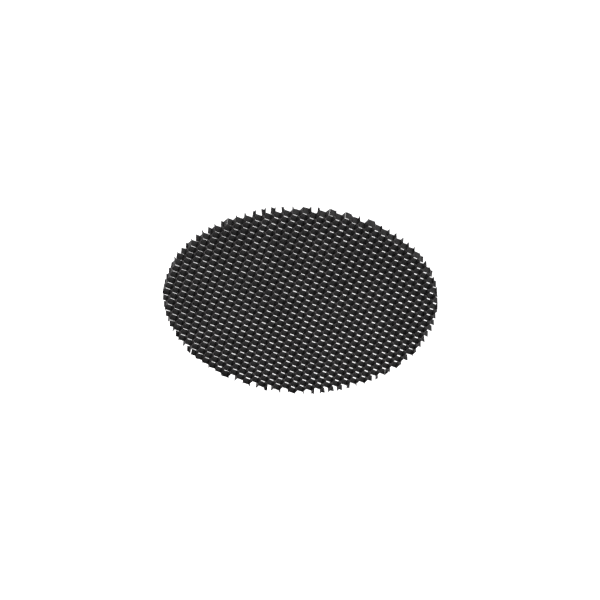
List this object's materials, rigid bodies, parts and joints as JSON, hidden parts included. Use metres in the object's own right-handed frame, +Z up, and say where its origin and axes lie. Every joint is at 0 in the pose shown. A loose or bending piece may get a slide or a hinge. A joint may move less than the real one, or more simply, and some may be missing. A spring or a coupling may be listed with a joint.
{
  "type": "honeycomb disc",
  "caption": "Thin round disc of expanded foil honeycomb with open hexagonal cells, black coated, trimmed through the cells at the rim; it straightens the gas or air flow in a burner or duct",
  "frame": {"origin": "centre of the disc on its underside", "axes": "+Z is up through the cells, +Y runs along the foil strips, +X across them"},
  "size_m": [0.0932, 0.0932, 0.0026],
  "materials": {
    "black_coated_foil": "satin",
    "node_adhesive": "matte"
  },
  "bodies": {
    "root": {"foil_strip_01": "black_coated_foil", "foil_strip_02": "black_coated_foil", "foil_strip_03": "black_coated_foil", "foil_strip_04": "black_coated_foil", "foil_strip_05": "black_coated_foil", "foil_strip_06": "black_coated_foil", "foil_strip_07": "black_coated_foil", "foil_strip_08": "black_coated_foil", "foil_strip_09": "black_coated_foil", "foil_strip_10": "black_coated_foil", "foil_strip_11": "black_coated_foil", "foil_strip_12": "black_coated_foil", "foil_strip_13": "black_coated_foil", "foil_strip_14": "black_coated_foil", "foil_strip_15": "black_coated_foil", "foil_strip_16": "black_coated_foil", "foil_strip_17": "black_coated_foil", "foil_strip_18": "black_coated_foil", "foil_strip_19": "black_coated_foil", "foil_strip_20": "black_coated_foil", "foil_strip_21": "black_coated_foil", "foil_strip_22": "black_coated_foil", "foil_strip_23": "black_coated_foil", "foil_strip_24": "black_coated_foil", "foil_strip_25": "black_coated_foil", "foil_strip_26": "black_coated_foil", "foil_strip_27": "black_coated_foil", "foil_strip_28": "black_coated_foil", "foil_strip_29": "black_coated_foil", "foil_strip_30": "black_coated_foil", "foil_strip_31": "black_coated_foil", "foil_strip_32": "black_coated_foil", "foil_strip_33": "black_coated_foil", "foil_strip_34": "black_coated_foil", "foil_strip_35": "black_coated_foil", "foil_strip_36": "black_coated_foil", "foil_strip_37": "black_coated_foil", "foil_strip_38": "black_coated_foil", "foil_strip_39": "black_coated_foil", "foil_strip_40": "black_coated_foil", "foil_strip_41": "black_coated_foil", "foil_strip_42": "black_coated_foil", "foil_strip_43": "black_coated_foil", "foil_strip_44": "black_coated_foil", "foil_strip_45": "black_coated_foil", "foil_strip_46": "black_coated_foil", "foil_strip_47": "black_coated_foil", "foil_strip_48": "black_coated_foil", "foil_strip_49": "black_coated_foil", "foil_strip_50": "black_coated_foil", "foil_strip_51": "black_coated_foil", "foil_strip_52": "black_coated_foil", "foil_strip_53": "black_coated_foil", "foil_strip_54": "black_coated_foil", "foil_strip_55": "black_coated_foil", "foil_strip_56": "black_coated_foil", "foil_strip_57": "black_coated_foil", "foil_strip_58": "black_coated_foil", "foil_strip_59": "black_coated_foil", "glue_lines": "node_adhesive"}
  },
  "joints": []
}
